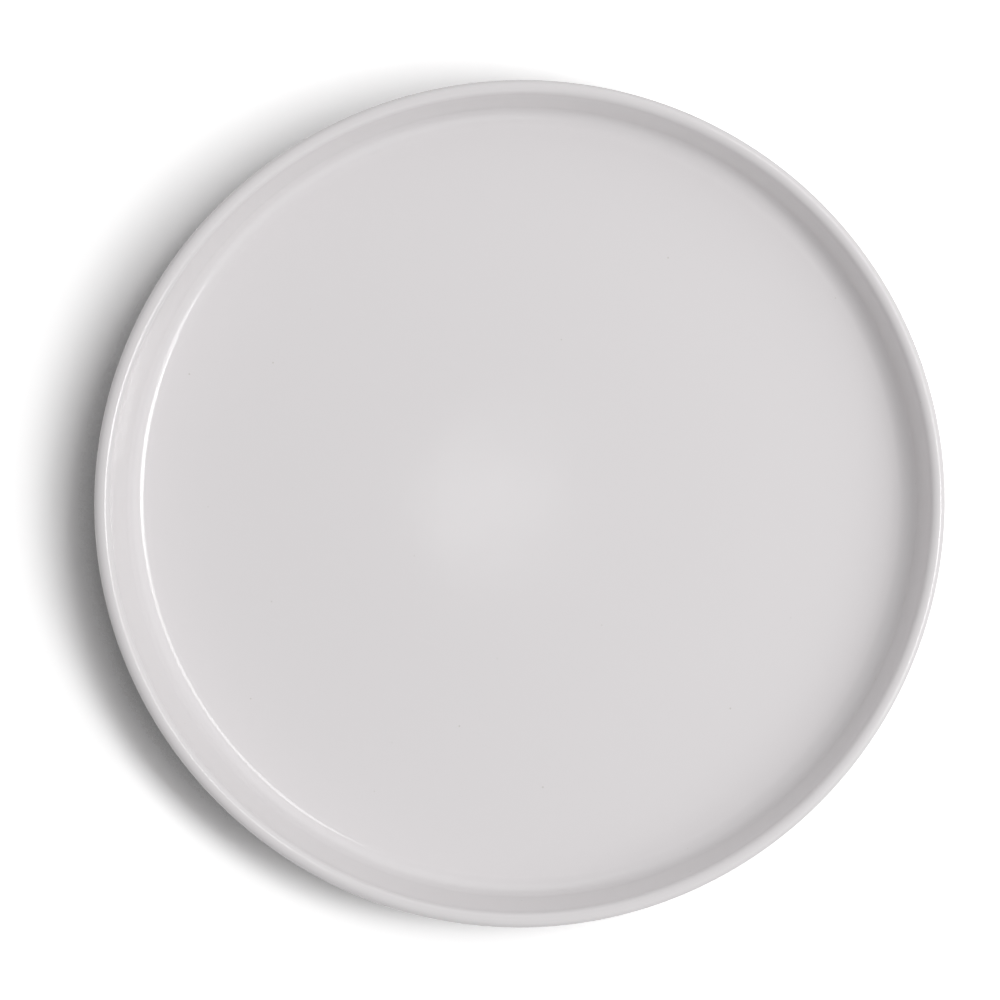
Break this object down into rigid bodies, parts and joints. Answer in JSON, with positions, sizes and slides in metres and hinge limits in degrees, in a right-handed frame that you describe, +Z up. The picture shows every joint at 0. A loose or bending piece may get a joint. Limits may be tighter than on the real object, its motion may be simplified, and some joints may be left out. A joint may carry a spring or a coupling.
{
  "type": "dessert plate",
  "caption": "Round white glazed dessert plate with a flat floor, a low upright rim that leans outwards, a full round lip and a foot ring of bare clay.",
  "frame": {"origin": "centre of the foot ring, on the surface that the plate stands on", "axes": "+Z up along the plate's axis; +X is the right of the picture and +Y is its top"},
  "size_m": [0.21, 0.21, 0.022],
  "materials": {
    "bare_clay": "matt, fired and unglazed",
    "white_glaze": "gloss"
  },
  "bodies": {
    "root": {"clay_body": "bare_clay", "face_glaze": "white_glaze", "base_glaze": "white_glaze"}
  },
  "joints": []
}
